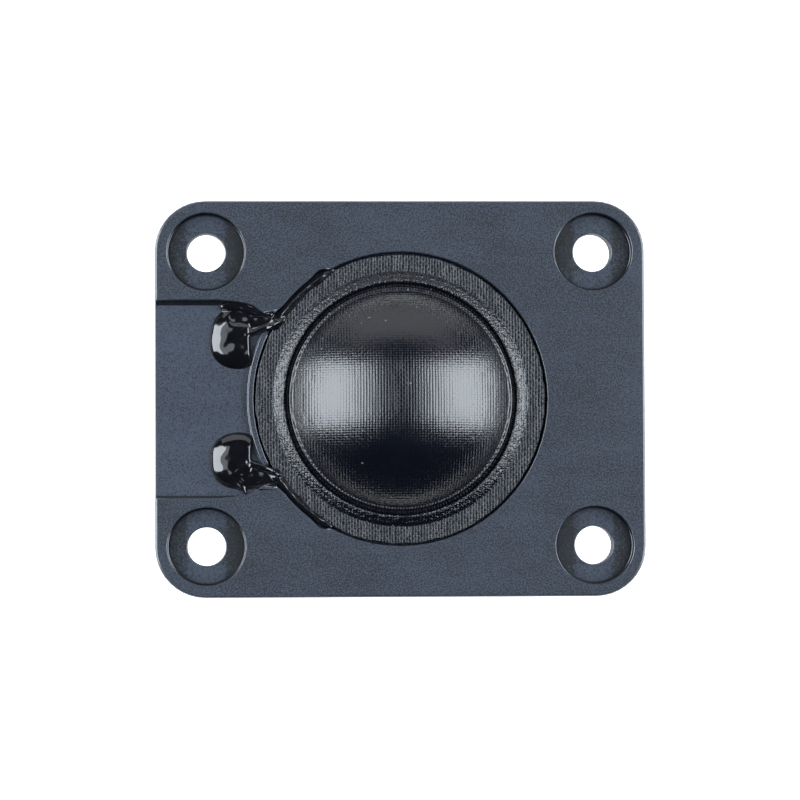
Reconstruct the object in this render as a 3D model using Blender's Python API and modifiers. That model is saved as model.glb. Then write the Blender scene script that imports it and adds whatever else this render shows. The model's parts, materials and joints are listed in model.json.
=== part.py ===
"""Dome tweeter on a rectangular screw-down faceplate.

The plate lies flat with the dome facing up (+Z). The origin is the centre of the motor cup's
rear face, on the dome's axis; +X runs along the plate's long side, away from the lead channel.
The moving body is the dome with its coil former and winding: it slides a little along +Z.
"""
import math

import bmesh
import bpy

MM = 0.001

# Driving dimensions
COIL_BORE_R = 12.35 * MM        # 25 mm class voice coil
PLATE_LENGTH = 56.0 * MM
PLATE_WIDTH = 45.3 * MM
PLATE_THICK = 4.0 * MM
CORNER_R = 5.75 * MM            # corners are concentric with the screw holes
EDGE_R = 0.3 * MM
SCREW_HOLE_R = 2.2 * MM         # M4 clearance
SCREW_SEAT_R = 4.45 * MM        # M4 pan head
SCREW_SEAT_DEPTH = 1.3 * MM
SCREW_INSET = 5.85 * MM         # hole centre from both plate edges
CUP_R = 16.0 * MM
CUP_BORE_R = 13.15 * MM
CUP_DEPTH = 9.9 * MM
CUP_FLOOR = 3.0 * MM
CUP_CHAMFER = 0.5 * MM
MAGNET_R = 11.25 * MM
MAGNET_THICK = 4.4 * MM
POLE_R = 12.15 * MM
POLE_THICK = 2.4 * MM
DAMPER_R = 10.0 * MM
DAMPER_THICK = 2.2 * MM
FORMER_WALL = 0.12 * MM
FORMER_LENGTH = 5.5 * MM        # from the plate's front face down
WINDING_R = 12.85 * MM
WINDING_TOP = 2.3 * MM          # below the front face
WINDING_BOTTOM = 5.4 * MM
WINDING_GAP = 0.05 * MM         # enamel between the former and the winding
GAP = 0.1 * MM                  # glue line between stacked pieces
CLOTH = 0.2 * MM                # coated cloth of dome, surround and flange
DOME_RISE = 6.0 * MM            # crown above the plate's front face
DOME_SPHERE_R = 16.4 * MM
TURN_STEPS = 48
PLATE_SIDES = 64                # round features of the moulded plate
SMALL_SIDES = 24                # rivets, solder and other small round pieces

# Heights, from the cup's rear face up
WEB_THICK = 1.0 * MM
SEAT_DEPTH = 1.6 * MM           # diaphragm seat below the front face
CHANNEL_DEPTH = 1.0 * MM        # lead channel below the front face
POCKET_Z = CUP_DEPTH + GAP      # ceiling of the cup's pocket in the plate
FRONT_Z = POCKET_Z + WEB_THICK + SEAT_DEPTH
REAR_Z = FRONT_Z - PLATE_THICK
CHANNEL_Z = FRONT_Z - CHANNEL_DEPTH
SEAT_Z = FRONT_Z - SEAT_DEPTH

# Radii of the diaphragm's seat and lip
RECESS_R = 16.8 * MM
LIP_R = 17.45 * MM
LIP_TOP_Z = FRONT_Z - 0.35 * MM
LIP_ROOT = 0.2 * MM             # how deep the lip is rooted in the channel's floor
LIP_HALF_ANGLE = math.radians(26)
WEB_HOLE_R = 13.3 * MM
POCKET_R = 16.1 * MM
COLLAR_R = 18.0 * MM
COLLAR_DROP = 3.0 * MM          # collar below the plate's rear face
GUSSET_REACH = 2.2 * MM
GUSSET_HALF_THICK = 0.6 * MM
CHANNEL_HALF_WIDTH = 11.3 * MM
OVERCUT = 1.0 * MM              # how far cutters run past the faces that they cut
FLANGE_R = 16.3 * MM
FLANGE_INNER_R = 14.6 * MM
FLANGE_TOP_Z = FRONT_Z - 0.5 * MM

# Terminals: one pair, mirrored in Y
TERMINAL_X = -19.1 * MM
TERMINAL_Y = 7.1 * MM
RIVET_HOLE_R = 1.05 * MM
RIVET_SHANK_R = 0.95 * MM
RIVET_HEAD_R = 1.6 * MM
RIVET_HEAD_THICK = 0.35 * MM
TAB_THICK = 0.5 * MM
TAB_WIDTH = 2.8 * MM            # 2.8 mm push-on blade
TAB_BLADE_X = -22.6 * MM
TAB_BLADE_END_Z = 1.8 * MM
TAB_FOOT_HALF = 2.0 * MM
TAB_FOOT_PAST_RIVET = 1.3 * MM
TAB_CORNER = 0.6 * MM
LATCH_HOLE_R = 0.6 * MM
LATCH_HOLE_RISE = 2.4 * MM      # above the blade's end
SOLDER_R = 0.9 * MM
SOLDER_HEIGHT = 0.45 * MM
SIDES = {"upper": 1, "lower": -1}

# Lead wires
WIRE_R = 0.12 * MM
WIRE_ANGLE = math.radians(148.6)
WIRE_SLOT_WIDTH = 0.5 * MM
WIRE_SLOT_DEPTH = 0.5 * MM
WIRE_SPACE = 0.25 * MM          # half width of the space kept for the wire in the glue


def remove_everything():
    for thing in list(bpy.data.objects):
        bpy.data.objects.remove(thing, do_unlink=True)


def new_collection(name):
    collection = bpy.data.collections.new(name)
    bpy.context.scene.collection.children.link(collection)
    return collection


def new_material(name, colour, roughness, metallic=0.0):
    material = bpy.data.materials.new(name)
    material.use_nodes = True
    shader = material.node_tree.nodes["Principled BSDF"]
    shader.inputs["Base Color"].default_value = (*colour, 1.0)
    shader.inputs["Roughness"].default_value = roughness
    shader.inputs["Metallic"].default_value = metallic
    material.diffuse_color = (*colour, 1.0)
    return material


def new_object(name, mesh, collection, material=None):
    thing = bpy.data.objects.new(name, mesh)
    collection.objects.link(thing)
    if material:
        mesh.materials.append(material)
    return thing


def as_cutter(thing):
    thing.hide_render = True
    thing.display_type = "WIRE"
    return thing


def turned(name, profile, collection, material=None, ring=False, steps=TURN_STEPS):
    """A (radius, height) profile swept round the Z axis; a ring's profile is a closed loop."""
    mesh = bpy.data.meshes.new(name)
    points = [(radius, 0.0, height) for radius, height in profile]
    edges = [(i, i + 1) for i in range(len(points) - 1)]
    if ring:
        edges.append((len(points) - 1, 0))
    mesh.from_pydata(points, edges, [])
    thing = new_object(name, mesh, collection, material)
    screw = thing.modifiers.new("Turn", "SCREW")
    screw.steps = steps
    screw.render_steps = steps
    screw.use_merge_vertices = True
    screw.merge_threshold = 0.000005
    screw.use_smooth_shade = False
    return thing


def ring_profile(inner, outer, bottom, top):
    """A rectangular section, down the outer side first."""
    return [(outer, top), (outer, bottom), (inner, bottom), (inner, top)]


def disc_profile(radius, bottom, top):
    return [(0.0, top), (radius, top), (radius, bottom), (0.0, bottom)]


def cloth_profile(path, thickness):
    """A thin section of even thickness: the path offset to both sides along its normals."""
    over, under = [], []
    for i, (radius, height) in enumerate(path):
        before = path[max(i - 1, 0)]
        after = path[min(i + 1, len(path) - 1)]
        run, rise = after[0] - before[0], after[1] - before[1]
        length = math.hypot(run, rise)
        across = (-rise / length * thickness / 2, run / length * thickness / 2)
        over.append((max(radius + across[0], 0.0), height + across[1]))
        under.append((max(radius - across[0], 0.0), height - across[1]))
    return over, under


def cylinder(name, radius, bottom, top, collection, centre=(0.0, 0.0), sides=PLATE_SIDES):
    shape = bmesh.new()
    bmesh.ops.create_cone(shape, cap_ends=True, cap_tris=False, segments=sides,
                          radius1=radius, radius2=radius, depth=top - bottom)
    bmesh.ops.translate(shape, verts=shape.verts, vec=(*centre, (top + bottom) / 2))
    mesh = bpy.data.meshes.new(name)
    shape.to_mesh(mesh)
    shape.free()
    return new_object(name, mesh, collection)


def box(name, low, high, collection, material=None):
    shape = bmesh.new()
    bmesh.ops.create_cube(shape, size=1.0)
    bmesh.ops.scale(shape, verts=shape.verts, vec=[h - l for l, h in zip(low, high)])
    bmesh.ops.translate(shape, verts=shape.verts, vec=[(l + h) / 2 for l, h in zip(low, high)])
    mesh = bpy.data.meshes.new(name)
    shape.to_mesh(mesh)
    shape.free()
    return new_object(name, mesh, collection, material)


def outline_slab(name, points, bottom, top, collection, smooth=True, resolution=5):
    """A closed outline in XY, filled and extruded between two heights, as a mesh.

    A point is (x, y), or (x, y, "corner") where a smooth outline turns sharply.
    """
    curve = bpy.data.curves.new(name, "CURVE")
    curve.dimensions = "2D"
    curve.fill_mode = "BOTH"
    curve.extrude = (top - bottom) / 2
    curve.resolution_u = resolution
    if smooth:
        spline = curve.splines.new("BEZIER")
        spline.bezier_points.add(len(points) - 1)
        for knot, point in zip(spline.bezier_points, points):
            knot.co = (point[0], point[1], 0.0)
            handle = "VECTOR" if len(point) == 3 else "AUTO"
            knot.handle_left_type = handle
            knot.handle_right_type = handle
    else:
        spline = curve.splines.new("POLY")
        spline.points.add(len(points) - 1)
        for knot, point in zip(spline.points, points):
            knot.co = (point[0], point[1], 0.0, 1.0)
    spline.use_cyclic_u = True
    drawn = bpy.data.objects.new(name + "_outline", curve)
    drawn.location.z = (top + bottom) / 2
    return curve_as_mesh(name, drawn, collection)


def curve_as_mesh(name, drawn, collection):
    bpy.context.scene.collection.objects.link(drawn)
    bpy.context.view_layer.update()
    graph = bpy.context.evaluated_depsgraph_get()
    mesh = bpy.data.meshes.new_from_object(drawn.evaluated_get(graph))
    mesh.transform(drawn.matrix_world)
    bpy.data.objects.remove(drawn, do_unlink=True)
    shape = bmesh.new()
    shape.from_mesh(mesh)
    bmesh.ops.remove_doubles(shape, verts=shape.verts, dist=0.000001)
    bmesh.ops.recalc_face_normals(shape, faces=shape.faces)
    shape.to_mesh(mesh)
    shape.free()
    mesh.name = name
    return new_object(name, mesh, collection)


def boolean(thing, operation, other):
    step = thing.modifiers.new(other.name, "BOOLEAN")
    step.operation = operation
    step.object = other
    step.solver = "EXACT"


def cut(thing, cutters):
    for cutter in cutters:
        boolean(thing, "DIFFERENCE", as_cutter(cutter))


def join(thing, additions):
    for addition in additions:
        boolean(thing, "UNION", as_cutter(addition))


def edge_weights(thing, chosen):
    """Bevel weight 1 on the edges for which chosen(a, b) is true."""
    mesh = thing.data
    weights = mesh.attributes.new("bevel_weight_edge", "FLOAT", "EDGE")
    for edge in mesh.edges:
        a, b = (mesh.vertices[i].co for i in edge.vertices)
        weights.data[edge.index].value = 1.0 if chosen(a, b) else 0.0


def rounded(thing, width, segments, method="ANGLE", angle=math.radians(50)):
    bevel = thing.modifiers.new("Round", "BEVEL")
    bevel.width = width
    bevel.segments = segments
    bevel.limit_method = method
    bevel.angle_limit = angle


def screw_centres():
    x = PLATE_LENGTH / 2 - SCREW_INSET
    y = PLATE_WIDTH / 2 - SCREW_INSET
    return [(-x, -y), (x, -y), (x, y), (-x, y)]


def polar(radius, angle):
    return radius * math.cos(angle), radius * math.sin(angle)


def channel_edge():
    """The channel's upper wall, from the plate's end to the recess, for Y above zero."""
    outside = -PLATE_LENGTH / 2 - OVERCUT
    wall = CHANNEL_HALF_WIDTH
    tip = [(-17.1 * MM, 10.75 * MM), (-14.95 * MM, 9.65 * MM), (-13.65 * MM, 10.4 * MM)]
    beside_ring = [polar(17.1 * MM, math.radians(degrees)) for degrees in (137, 128, 120)]
    return ([(outside, wall, "corner"), (-20.6 * MM, wall, "corner")]
            + tip + beside_ring + [(-7.0 * MM, 13.0 * MM, "corner")])


def mirrored(points):
    """The same points across Y = 0, in reverse order, to close an outline."""
    return [(point[0], -point[1], *point[2:]) for point in reversed(points)]


def lip_outline(inner, outer, half_angle):
    steps = 12
    angles = [math.pi + half_angle * (2 * i / steps - 1) for i in range(steps + 1)]
    return [polar(outer, a) for a in angles] + [polar(inner, a) for a in reversed(angles)]


def make_gusset(index, collar_low, cutters):
    """One of four triangular ribs between the plate's rear face and the collar."""
    root = COLLAR_R - OVERCUT
    tip_low = collar_low + GUSSET_HALF_THICK
    section = [(root, REAR_Z + OVERCUT / 2), (COLLAR_R + GUSSET_REACH, REAR_Z + OVERCUT / 2),
               (COLLAR_R + GUSSET_REACH, REAR_Z), (COLLAR_R - OVERCUT / 4, tip_low),
               (root, tip_low)]
    gusset = outline_slab(f"gusset_{index}", section, -GUSSET_HALF_THICK, GUSSET_HALF_THICK,
                          cutters, smooth=False)
    gusset.rotation_euler = (math.pi / 2, 0.0, math.radians(45 + 90 * index))
    return gusset


def make_faceplate(parts, cutters, material):
    plate = box("faceplate", (-PLATE_LENGTH / 2, -PLATE_WIDTH / 2, REAR_Z),
                (PLATE_LENGTH / 2, PLATE_WIDTH / 2, FRONT_Z), parts, material)
    edge_weights(plate, lambda a, b: abs(a.z - b.z) > PLATE_THICK / 2)
    rounded(plate, CORNER_R, 10, method="WEIGHT")
    rounded(plate, EDGE_R, 2)

    collar_low = REAR_Z - COLLAR_DROP
    collar = cylinder("collar", COLLAR_R, collar_low, REAR_Z + OVERCUT, cutters)
    join(plate, [collar] + [make_gusset(i, collar_low, cutters) for i in range(4)])

    edge = channel_edge()
    above = FRONT_Z + OVERCUT
    below = REAR_Z - OVERCUT
    cut(plate, [outline_slab("channel", edge + mirrored(edge), CHANNEL_Z, above, cutters,
                             resolution=8)])
    lip = outline_slab("lip", lip_outline(RECESS_R - OVERCUT, LIP_R, LIP_HALF_ANGLE),
                       CHANNEL_Z - LIP_ROOT, LIP_TOP_Z, cutters, smooth=False)
    join(plate, [lip])
    holes = [
        cylinder("recess", RECESS_R, SEAT_Z, above, cutters),
        cylinder("web_hole", WEB_HOLE_R, REAR_Z, above, cutters),
        cylinder("cup_pocket", POCKET_R, collar_low - OVERCUT, POCKET_Z, cutters),
    ]
    for i, centre in enumerate(screw_centres()):
        holes.append(cylinder(f"screw_hole_{i}", SCREW_HOLE_R, below, above, cutters, centre,
                              sides=32))
        holes.append(cylinder(f"screw_seat_{i}", SCREW_SEAT_R, FRONT_Z - SCREW_SEAT_DEPTH, above,
                              cutters, centre, sides=48))
    for side, sign in SIDES.items():
        holes.append(cylinder(f"rivet_hole_{side}", RIVET_HOLE_R, below, above, cutters,
                              (TERMINAL_X, sign * TERMINAL_Y), sides=SMALL_SIDES))
    cut(plate, holes)


def make_diaphragm_ring(parts, cutters, material):
    """The stiff ring that carries the cloth flange, with a slot on top for each lead wire."""
    top = FLANGE_TOP_Z - CLOTH - GAP
    ring = turned("diaphragm_ring", ring_profile(FLANGE_INNER_R, FLANGE_R, SEAT_Z + GAP, top),
                  parts, material, ring=True)
    slots = []
    for side, sign in SIDES.items():
        slot = box(f"wire_slot_{side}",
                   (FLANGE_INNER_R - OVERCUT, -WIRE_SLOT_WIDTH / 2, top - WIRE_SLOT_DEPTH),
                   (FLANGE_R + OVERCUT, WIRE_SLOT_WIDTH / 2, top + OVERCUT), cutters)
        slot.rotation_euler.z = sign * WIRE_ANGLE
        slots.append(slot)
    cut(ring, slots)


def make_surround_flange(parts, material):
    profile = ring_profile(FLANGE_INNER_R, FLANGE_R, FLANGE_TOP_Z - CLOTH, FLANGE_TOP_Z)
    turned("surround_flange", profile, parts, material, ring=True)


def make_surround(parts, material):
    """The narrow half roll that lets the dome travel."""
    path = [(13.05, -0.55), (13.12, -0.2), (13.3, 0.02), (13.5, 0.05), (13.75, -0.07),
            (14.0, -0.22), (14.25, -0.39), (14.45, -0.6)]
    over, under = cloth_profile([(r * MM, FRONT_Z + z * MM) for r, z in path], CLOTH)
    turned("surround", over + under[::-1], parts, material, ring=True)


def make_dome(parts, material):
    """A spherical cap that ends in a narrow ledge and a short skirt."""
    centre = FRONT_Z + DOME_RISE - DOME_SPHERE_R
    steps = 7
    widest = math.asin(COIL_BORE_R / DOME_SPHERE_R)
    radius = DOME_SPHERE_R - CLOTH / 2
    path = [(radius * math.sin(widest * i / steps), centre + radius * math.cos(widest * i / steps))
            for i in range(steps + 1)]
    path += [(12.72 * MM, FRONT_Z + 0.22 * MM), (12.78 * MM, FRONT_Z - 0.3 * MM)]
    over, under = cloth_profile(path, CLOTH)
    over[0] = (0.0, over[0][1])
    under[0] = (0.0, under[0][1])
    turned("dome", over + under[::-1], parts, material)


def make_coil_former(parts, material):
    profile = ring_profile(COIL_BORE_R, COIL_BORE_R + FORMER_WALL, FRONT_Z - FORMER_LENGTH,
                           FRONT_Z)
    turned("coil_former", profile, parts, material, ring=True)


def make_coil_winding(parts, material):
    profile = ring_profile(COIL_BORE_R + FORMER_WALL + WINDING_GAP, WINDING_R,
                           FRONT_Z - WINDING_BOTTOM, FRONT_Z - WINDING_TOP)
    turned("coil_winding", profile, parts, material, ring=True)


def make_motor_cup(parts, material):
    """The steel return cup: thick floor, thick wall, small outer chamfers."""
    inside = [(0.0, CUP_FLOOR), (CUP_BORE_R, CUP_FLOOR), (CUP_BORE_R, CUP_DEPTH)]
    outside = [(CUP_R, CUP_DEPTH), (CUP_R, CUP_CHAMFER), (CUP_R - CUP_CHAMFER, 0.0), (0.0, 0.0)]
    turned("motor_cup", inside + outside, parts, material)


def make_magnet(parts, material):
    bottom = CUP_FLOOR + GAP
    turned("magnet", disc_profile(MAGNET_R, bottom, bottom + MAGNET_THICK), parts, material)


def make_pole_piece(parts, material):
    profile = disc_profile(POLE_R, CUP_DEPTH - POLE_THICK, CUP_DEPTH)
    turned("pole_piece", profile, parts, material)


def make_dome_damper(parts, material):
    """A felt pad on the pole piece that soaks up the sound behind the dome."""
    low = CUP_DEPTH + GAP
    high = low + DAMPER_THICK
    edge = 0.5 * MM
    profile = [(0.0, high), (DAMPER_R - edge, high), (DAMPER_R, high - edge), (DAMPER_R, low),
               (0.0, low)]
    turned("dome_damper", profile, parts, material)


def make_cup_adhesive(parts, material):
    """The bead of glue that fills the corner between the collar's end and the cup."""
    top = REAR_Z - COLLAR_DROP - GAP / 2
    inner = CUP_R + GAP / 2
    profile = [(inner + 1.5 * MM, top), (inner + 0.9 * MM, top - 0.35 * MM),
               (inner, top - 1.0 * MM), (inner, top)]
    turned("cup_adhesive", profile, parts, material, ring=True)


def make_terminal_rivet(side, sign, parts, material):
    """A rivet through the plate and the tab, headed on both ends."""
    seat = CHANNEL_Z + GAP / 2
    rear = REAR_Z - GAP / 2 - TAB_THICK - GAP / 2
    profile = [(0.0, seat + RIVET_HEAD_THICK), (RIVET_HEAD_R * 0.8, seat + RIVET_HEAD_THICK),
               (RIVET_HEAD_R, seat), (RIVET_SHANK_R, seat), (RIVET_SHANK_R, rear),
               (RIVET_HEAD_R, rear), (RIVET_HEAD_R * 0.8, rear - RIVET_HEAD_THICK),
               (0.0, rear - RIVET_HEAD_THICK)]
    rivet = turned(f"terminal_rivet_{side}", profile, parts, material, steps=SMALL_SIDES)
    rivet.location = (TERMINAL_X, sign * TERMINAL_Y, 0.0)


def make_terminal_tab(side, sign, parts, cutters, material):
    """An L of brass strip: a foot under the rivet and a push-on blade pointing backwards."""
    top = REAR_Z - GAP / 2
    y = sign * TERMINAL_Y
    half = TAB_WIDTH / 2
    foot_end = TERMINAL_X + TAB_FOOT_PAST_RIVET
    foot = box(f"terminal_tab_{side}",
               (TAB_BLADE_X - TAB_THICK, y - TAB_FOOT_HALF, top - TAB_THICK),
               (foot_end, y + TAB_FOOT_HALF, top), parts, material)
    blade = box(f"blade_{side}", (TAB_BLADE_X - TAB_THICK, y - half, TAB_BLADE_END_Z),
                (TAB_BLADE_X, y + half, top - TAB_THICK / 2), cutters)
    edge_weights(blade, lambda a, b: max(a.z, b.z) < TAB_BLADE_END_Z + GAP
                 and abs(a.x - b.x) > TAB_THICK / 2)
    rounded(blade, TAB_CORNER, 1, method="WEIGHT")
    join(foot, [blade])
    rivet_bore = cylinder(f"rivet_bore_{side}", RIVET_HOLE_R, top - OVERCUT, top + OVERCUT,
                          cutters, (TERMINAL_X, y), sides=SMALL_SIDES)
    cut(foot, [rivet_bore, latch_hole(side, y, cutters)])


def latch_hole(side, y, cutters):
    """The hole across the blade that a receptacle's dimple snaps into."""
    hole = cylinder(f"latch_hole_{side}", LATCH_HOLE_R, -OVERCUT, OVERCUT, cutters, sides=16)
    hole.rotation_euler.y = math.pi / 2
    hole.location = (TAB_BLADE_X - TAB_THICK / 2, y, TAB_BLADE_END_Z + LATCH_HOLE_RISE)
    return hole


def make_solder_joint(side, sign, parts, material):
    low = CHANNEL_Z + GAP / 2 + RIVET_HEAD_THICK + GAP / 2
    steps = 3
    profile = [(SOLDER_R * math.sin(math.pi / 2 * i / steps),
                low + SOLDER_HEIGHT * math.cos(math.pi / 2 * i / steps))
               for i in range(steps + 1)]
    joint = turned(f"solder_joint_{side}", profile + [(0.0, low)], parts, material,
                   steps=SMALL_SIDES)
    joint.location = (TERMINAL_X, sign * TERMINAL_Y, 0.0)


def wire_route(sign):
    """Solder joint, past the lip's end, through the ring's slot, down to the winding."""
    start = (TERMINAL_X + 1.15 * MM, TERMINAL_Y + 0.33 * MM, FRONT_Z - 0.45 * MM)
    middle = (-16.6 * MM, 7.8 * MM, FRONT_Z - 0.6 * MM)
    along_ring = [(17.3, 3.0, -0.72), (16.85, 1.6, -0.78), (16.4, 0.5, -0.98), (15.9, 0.0, -1.05),
                  (14.7, 0.0, -1.05), (13.9, 0.0, -1.25), (13.2, 0.0, -1.8), (12.75, 0.0, -2.1)]
    points = [start, middle]
    for radius, degrees, drop in along_ring:
        x, y = polar(radius * MM, WIRE_ANGLE + math.radians(degrees))
        points.append((x, y, FRONT_Z + drop * MM))
    return [(x, sign * y, z) for x, y, z in points]


def make_lead_wire(side, sign, parts, material):
    """The winding's own enamelled wire, brought out under the flange to its terminal."""
    name = f"lead_wire_{side}"
    curve = bpy.data.curves.new(name, "CURVE")
    curve.dimensions = "3D"
    curve.bevel_depth = WIRE_R
    curve.bevel_resolution = 2
    curve.use_fill_caps = True
    curve.resolution_u = 3
    spline = curve.splines.new("BEZIER")
    route = wire_route(sign)
    spline.bezier_points.add(len(route) - 1)
    for knot, point in zip(spline.bezier_points, route):
        knot.co = point
        knot.handle_left_type = "AUTO"
        knot.handle_right_type = "AUTO"
    wire = bpy.data.objects.new(name, curve)
    curve.materials.append(material)
    parts.objects.link(wire)


def wire_clearance(side, sign, cutters):
    """A slot round the wire's straight run inside the glue, open downwards."""
    end = (-13.8 * MM, sign * 8.5 * MM)
    start = (TERMINAL_X, sign * TERMINAL_Y)
    length = math.dist(start, end)
    slot = box(f"wire_clearance_{side}", (0.0, -WIRE_SPACE, -OVERCUT),
               (length, WIRE_SPACE, CHANNEL_DEPTH - WIRE_SPACE), cutters)
    slot.rotation_euler.z = math.atan2(end[1] - start[1], end[0] - start[0])
    slot.location = (*start, CHANNEL_Z)
    return slot


def make_glue_bead(side, sign, parts, cutters, material):
    """The blob of glue over the soldered terminal, with an arm along the ring's outer edge."""
    centre = {"upper": (-19.3, 7.2), "lower": (-18.9, 7.2)}[side]
    half_size = {"upper": (2.6, 3.7, 1.7), "lower": (2.8, 3.45, 1.75)}[side]
    shape = bmesh.new()
    bmesh.ops.create_uvsphere(shape, u_segments=20, v_segments=12, radius=MM)
    bmesh.ops.scale(shape, verts=shape.verts, vec=half_size)
    bmesh.ops.translate(shape, verts=shape.verts,
                        vec=(centre[0] * MM, sign * centre[1] * MM, CHANNEL_Z))
    mesh = bpy.data.meshes.new(f"glue_bead_{side}")
    shape.to_mesh(mesh)
    shape.free()
    bead = new_object(f"glue_bead_{side}", mesh, parts, material)

    floor = CHANNEL_Z + GAP / 2
    under = SEAT_Z - OVERCUT
    arm = [(-19.0, 10.2), (-17.0, 10.3), (-15.2, 9.3), (-14.1, 9.6)]
    arm += [polar(16.75, math.radians(degrees)) for degrees in (140, 133, 126, 120)]
    arm += [polar(15.75, math.radians(degrees)) for degrees in (121, 128, 136, 144, 150)]
    arm += [(-15.6, 7.4), (-17.6, 6.6), (-19.0, 7.2)]
    points = [(x * MM, sign * y * MM) for x, y in arm]
    strip = outline_slab(f"glue_arm_{side}", points, floor, FRONT_Z - GAP, cutters)
    join(bead, [strip])
    below = box(f"below_{side}", (-24 * MM, -13 * MM, CHANNEL_Z - 3 * MM),
                (-14 * MM, 13 * MM, floor), cutters)
    ring_space = cylinder(f"ring_space_{side}", FLANGE_R + GAP, under, FLANGE_TOP_Z + GAP / 2,
                          cutters)
    lip_space = outline_slab(f"lip_space_{side}",
                             lip_outline(RECESS_R - 2 * GAP, LIP_R + GAP,
                                         LIP_HALF_ANGLE + math.radians(0.5)),
                             under, LIP_TOP_Z + GAP / 2, cutters, smooth=False)
    terminal_space = cylinder(f"terminal_space_{side}", RIVET_HEAD_R + GAP, under,
                              FRONT_Z + GAP / 2, cutters, (TERMINAL_X, sign * TERMINAL_Y),
                              sides=SMALL_SIDES)
    cut(bead, [below, ring_space, lip_space, terminal_space, wire_clearance(side, sign, cutters)])


def make_polarity_dot(parts, material):
    """A spot of paint on the plate's rear face beside the positive terminal."""
    top = REAR_Z - GAP / 4
    dot = turned("polarity_dot", disc_profile(0.9 * MM, top - GAP, top), parts, material,
                 steps=SMALL_SIDES)
    dot.location = (-25.3 * MM, TERMINAL_Y, 0.0)


def finish_shading(thing):
    if thing.type == "MESH":
        thing.data.shade_smooth()
        thing.data.set_sharp_from_angle(angle=math.radians(30))


def main():
    remove_everything()
    parts = new_collection("car_tweeter")
    cutters = new_collection("cutters")

    plastic = new_material("black_plastic", (0.040, 0.044, 0.052), 0.55)
    ring_plastic = new_material("ring_plastic", (0.05, 0.05, 0.055), 0.5)
    cloth = new_material("coated_cloth", (0.035, 0.035, 0.04), 0.4)
    flange_cloth = new_material("flange_cloth", (0.05, 0.05, 0.055), 0.6)
    foil = new_material("former_foil", (0.75, 0.75, 0.76), 0.35, 1.0)
    copper = new_material("copper", (0.62, 0.26, 0.12), 0.3, 1.0)
    glue = new_material("black_glue", (0.012, 0.012, 0.014), 0.1)
    brass = new_material("brass", (0.72, 0.55, 0.25), 0.3, 1.0)
    solder = new_material("solder", (0.72, 0.72, 0.72), 0.25, 1.0)
    plated = new_material("plated_steel", (0.6, 0.61, 0.62), 0.35, 1.0)
    nickel = new_material("nickel", (0.7, 0.69, 0.66), 0.2, 1.0)
    felt = new_material("felt", (0.30, 0.30, 0.31), 0.95)
    resin = new_material("clear_resin", (0.5, 0.42, 0.25), 0.25)
    paint = new_material("red_paint", (0.6, 0.03, 0.03), 0.4)

    make_faceplate(parts, cutters, plastic)
    make_diaphragm_ring(parts, cutters, ring_plastic)
    make_surround_flange(parts, flange_cloth)
    make_surround(parts, cloth)
    make_dome(parts, cloth)
    make_coil_former(parts, foil)
    make_coil_winding(parts, copper)
    make_motor_cup(parts, plated)
    make_magnet(parts, nickel)
    make_pole_piece(parts, plated)
    make_dome_damper(parts, felt)
    make_cup_adhesive(parts, resin)
    make_polarity_dot(parts, paint)
    for side, sign in SIDES.items():
        make_terminal_rivet(side, sign, parts, brass)
        make_terminal_tab(side, sign, parts, cutters, brass)
        make_solder_joint(side, sign, parts, solder)
        make_lead_wire(side, sign, parts, copper)
        make_glue_bead(side, sign, parts, cutters, glue)
    for thing in parts.objects:
        finish_shading(thing)


main()
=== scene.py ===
# %% [markdown]
# # A dome tweeter on its faceplate
# This lesson dresses a small loudspeaker: a black moulded plate, a coated silk dome in its
# recess, and two beads of wet-looking glue over the soldered leads. The packed CAD model gives
# every size and place, so the first step loads it and never moves it.

import json
import math

import bmesh
import bpy
import numpy as np
from mathutils import Matrix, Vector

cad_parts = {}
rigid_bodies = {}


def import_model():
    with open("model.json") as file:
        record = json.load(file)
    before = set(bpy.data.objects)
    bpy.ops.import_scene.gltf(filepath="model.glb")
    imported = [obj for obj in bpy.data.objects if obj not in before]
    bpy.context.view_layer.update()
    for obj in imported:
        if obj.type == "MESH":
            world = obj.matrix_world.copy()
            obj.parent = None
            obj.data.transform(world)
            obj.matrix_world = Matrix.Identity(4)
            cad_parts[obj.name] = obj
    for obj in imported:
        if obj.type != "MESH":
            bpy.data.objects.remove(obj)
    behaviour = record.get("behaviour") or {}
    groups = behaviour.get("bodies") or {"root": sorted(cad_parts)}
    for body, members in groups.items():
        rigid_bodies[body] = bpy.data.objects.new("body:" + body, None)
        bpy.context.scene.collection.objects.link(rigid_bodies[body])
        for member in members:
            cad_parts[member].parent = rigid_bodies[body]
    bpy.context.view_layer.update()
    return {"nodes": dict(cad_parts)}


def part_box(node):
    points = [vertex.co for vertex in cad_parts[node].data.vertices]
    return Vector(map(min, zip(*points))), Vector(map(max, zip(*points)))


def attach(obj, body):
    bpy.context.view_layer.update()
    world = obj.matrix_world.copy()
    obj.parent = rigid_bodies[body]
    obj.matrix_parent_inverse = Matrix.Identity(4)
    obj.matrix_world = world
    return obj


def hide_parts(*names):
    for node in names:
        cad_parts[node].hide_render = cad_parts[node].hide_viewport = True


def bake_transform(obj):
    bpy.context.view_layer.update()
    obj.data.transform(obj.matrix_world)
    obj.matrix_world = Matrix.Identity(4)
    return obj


for leftover in list(bpy.data.objects):
    bpy.data.objects.remove(leftover, do_unlink=True)
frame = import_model()

# %% [markdown]
# Every length below is in metres, worked out from the frame's own boxes. Heights are measured
# from the plate's front face, because that is the face that everything else is seated in.

# %% measure the frame
MM = 0.001


def high(node):
    """The highest x, y and z that a CAD node reaches."""
    return np.array(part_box(node)[1])


def low(node):
    """The lowest x, y and z that a CAD node reaches."""
    return np.array(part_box(node)[0])


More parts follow.
